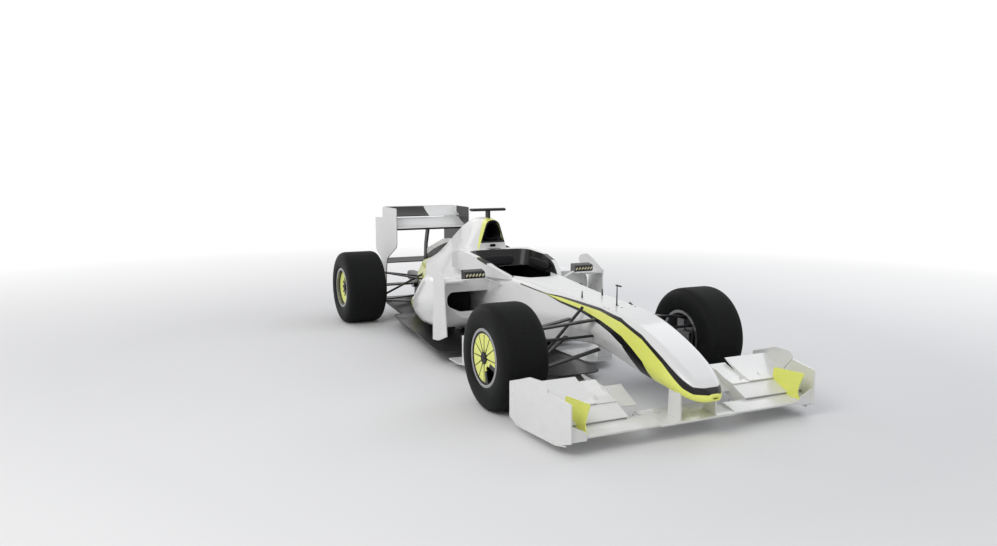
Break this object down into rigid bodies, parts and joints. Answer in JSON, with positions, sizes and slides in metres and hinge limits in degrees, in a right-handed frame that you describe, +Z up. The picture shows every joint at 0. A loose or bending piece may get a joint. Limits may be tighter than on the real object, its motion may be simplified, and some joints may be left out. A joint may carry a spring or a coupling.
{
  "type": "open wheel racing car",
  "caption": "Single-seat open wheel racing car with slick tyres, front and rear wings, sidepods and working steering and wheels.",
  "frame": {"origin": "on the ground, on the centreline, half way between the nose tip and the tail", "axes": "+X forward, +Y to the driver's left, +Z up"},
  "size_m": [4.71, 1.8, 1.1231],
  "materials": {
    "white_panel": "gloss",
    "yellow_panel": "gloss",
    "carbon": "satin",
    "suspension_carbon": "satin",
    "tyre_rubber": "matte",
    "wheel_alloy": "satin",
    "upright_alloy": "satin",
    "driveline_steel": "satin",
    "engine_block": "satin",
    "exhaust_steel": "satin",
    "radiator_alloy": "matte",
    "plank_wood": "matte"
  },
  "bodies": {
    "chassis": {"monocoque": "white_panel", "nose_cone": "white_panel", "head_surround": "white_panel", "cockpit_bulkhead": "carbon", "seat": "carbon", "engine_cover": "white_panel", "camera_pod": "carbon", "engine": "engine_block", "gearbox": "carbon", "crash_structure": "carbon", "floor": "carbon", "plank": "plank_wood", "diffuser": "carbon", "front_wing_main_plane": "white_panel", "front_wing_pylons": "white_panel", "rear_wing_main_plane": "white_panel", "rear_wing_flap": "white_panel", "rear_beam_wing": "carbon", "rear_wing_pylon": "carbon", "sidepod_left": "white_panel", "radiator_left": "radiator_alloy", "sidepod_vane_left": "white_panel", "bargeboard_left": "white_panel", "mirror_left": "carbon", "front_wing_flap_left": "white_panel", "front_endplate_left": "white_panel", "rear_endplate_left": "white_panel", "front_suspension_left": "suspension_carbon", "rear_suspension_left": "suspension_carbon", "sidepod_right": "white_panel", "radiator_right": "radiator_alloy", "sidepod_vane_right": "white_panel", "bargeboard_right": "white_panel", "mirror_right": "carbon", "front_wing_flap_right": "white_panel", "front_endplate_right": "white_panel", "rear_endplate_right": "white_panel", "front_suspension_right": "suspension_carbon", "rear_suspension_right": "suspension_carbon"},
    "steering_rack_body": {"steering_rack": "suspension_carbon"},
    "steering_wheel_body": {"steering_wheel": "carbon"},
    "front_knuckle_left": {"knuckle_left": "upright_alloy", "wheel_cover_left": "yellow_panel"},
    "front_wheel_left": {"front_rim_left": "wheel_alloy", "front_tyre_left": "tyre_rubber"},
    "rear_wheel_left": {"rear_rim_left": "wheel_alloy", "rear_tyre_left": "tyre_rubber", "driveshaft_left": "driveline_steel"},
    "front_knuckle_right": {"knuckle_right": "upright_alloy", "wheel_cover_right": "yellow_panel"},
    "front_wheel_right": {"front_rim_right": "wheel_alloy", "front_tyre_right": "tyre_rubber"},
    "rear_wheel_right": {"rear_rim_right": "wheel_alloy", "rear_tyre_right": "tyre_rubber", "driveshaft_right": "driveline_steel"}
  },
  "joints": [
    {"name": "steer_left", "type": "hinge", "parent": "chassis", "child": "front_knuckle_left", "pos_m": [1.275, 0.628, 0.33], "axis": [0, 0, 1], "range_deg": [-14, 14]},
    {"name": "front_spin_left", "type": "hinge", "parent": "front_knuckle_left", "child": "front_wheel_left", "pos_m": [1.275, 0.739, 0.33], "axis": [0, 1, 0], "continuous": true},
    {"name": "rear_spin_left", "type": "hinge", "parent": "chassis", "child": "rear_wheel_left", "pos_m": [-1.875, 0.702, 0.33], "axis": [0, 1, 0], "continuous": true},
    {"name": "steer_right", "type": "hinge", "parent": "chassis", "child": "front_knuckle_right", "pos_m": [1.275, -0.628, 0.33], "axis": [0, 0, 1], "range_deg": [-14, 14]},
    {"name": "front_spin_right", "type": "hinge", "parent": "front_knuckle_right", "child": "front_wheel_right", "pos_m": [1.275, -0.739, 0.33], "axis": [0, 1, 0], "continuous": true},
    {"name": "rear_spin_right", "type": "hinge", "parent": "chassis", "child": "rear_wheel_right", "pos_m": [-1.875, -0.702, 0.33], "axis": [0, 1, 0], "continuous": true},
    {"name": "rack_slide", "type": "slide", "parent": "chassis", "child": "steering_rack_body", "axis": [0, 1, 0], "range_m": [-0.0233, 0.0233]},
    {"name": "steering_wheel_turn", "type": "hinge", "parent": "chassis", "child": "steering_wheel_body", "pos_m": [0.29, 0, 0.56], "axis": [-1, 0, 0], "range_deg": [-141, 141]}
  ],
  "couplings": [
    {"joint": "steer_right", "follows": "steer_left", "ratio": 1},
    {"joint": "rack_slide", "follows": "steer_left", "m_per_rad": 0.095},
    {"joint": "steering_wheel_turn", "follows": "steer_left", "ratio": 10}
  ]
}
